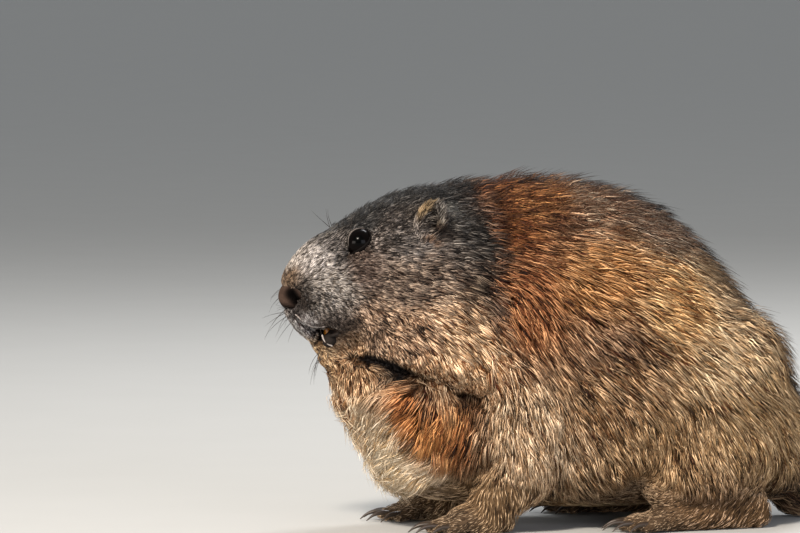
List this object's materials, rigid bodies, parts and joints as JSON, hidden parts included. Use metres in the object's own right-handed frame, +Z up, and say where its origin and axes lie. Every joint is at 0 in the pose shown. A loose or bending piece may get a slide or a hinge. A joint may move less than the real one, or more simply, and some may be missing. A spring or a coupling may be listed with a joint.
{
  "type": "alpine marmot life-size museum model",
  "caption": "Still, life-size alpine marmot hunched on all fours, with coarse fur, small round ears and a bushy tail.",
  "frame": {"origin": "on the floor, under the middle of the whole model's box", "axes": "the head faces -Y and the tail lies towards +Y, +X is the animal's left side and +Z is up from the floor"},
  "size_m": [0.1866, 0.4524, 0.2093],
  "materials": {
    "face_fur": "short grizzled grey-brown fur, pale on the muzzle and nearly black on the crown",
    "body_fur": "long rufous to golden-tan guard hair with black tips over dark underfur",
    "leg_fur": "golden-tan fur of middling length",
    "tail_fur": "bushy brown fur, black towards the tip",
    "foot_fur": "very short pale brown fur over dark pads",
    "ear_fur": "velvety short tan fur on thin skin",
    "nose_leather": "bare, fine-grained, slightly moist brown-black skin",
    "tooth_enamel": "glossy orange enamel",
    "eye_glass": "glossy, nearly black and opaque",
    "claw_horn": "dark, smooth, slightly worn horn"
  },
  "bodies": {
    "root": {"head": "face_fur", "jaw": "face_fur", "nose": "nose_leather", "incisors": "tooth_enamel", "neck": "body_fur", "torso": "body_fur", "tail": "tail_fur", "ear_left": "ear_fur", "ear_right": "ear_fur", "eye_left": "eye_glass", "eye_right": "eye_glass", "upper_foreleg_left": "leg_fur", "upper_foreleg_right": "leg_fur", "lower_foreleg_left": "leg_fur", "lower_foreleg_right": "leg_fur", "forepaw_left": "foot_fur", "forepaw_right": "foot_fur", "thigh_left": "leg_fur", "thigh_right": "leg_fur", "hindfoot_left": "foot_fur", "hindfoot_right": "foot_fur"}
  },
  "joints": []
}
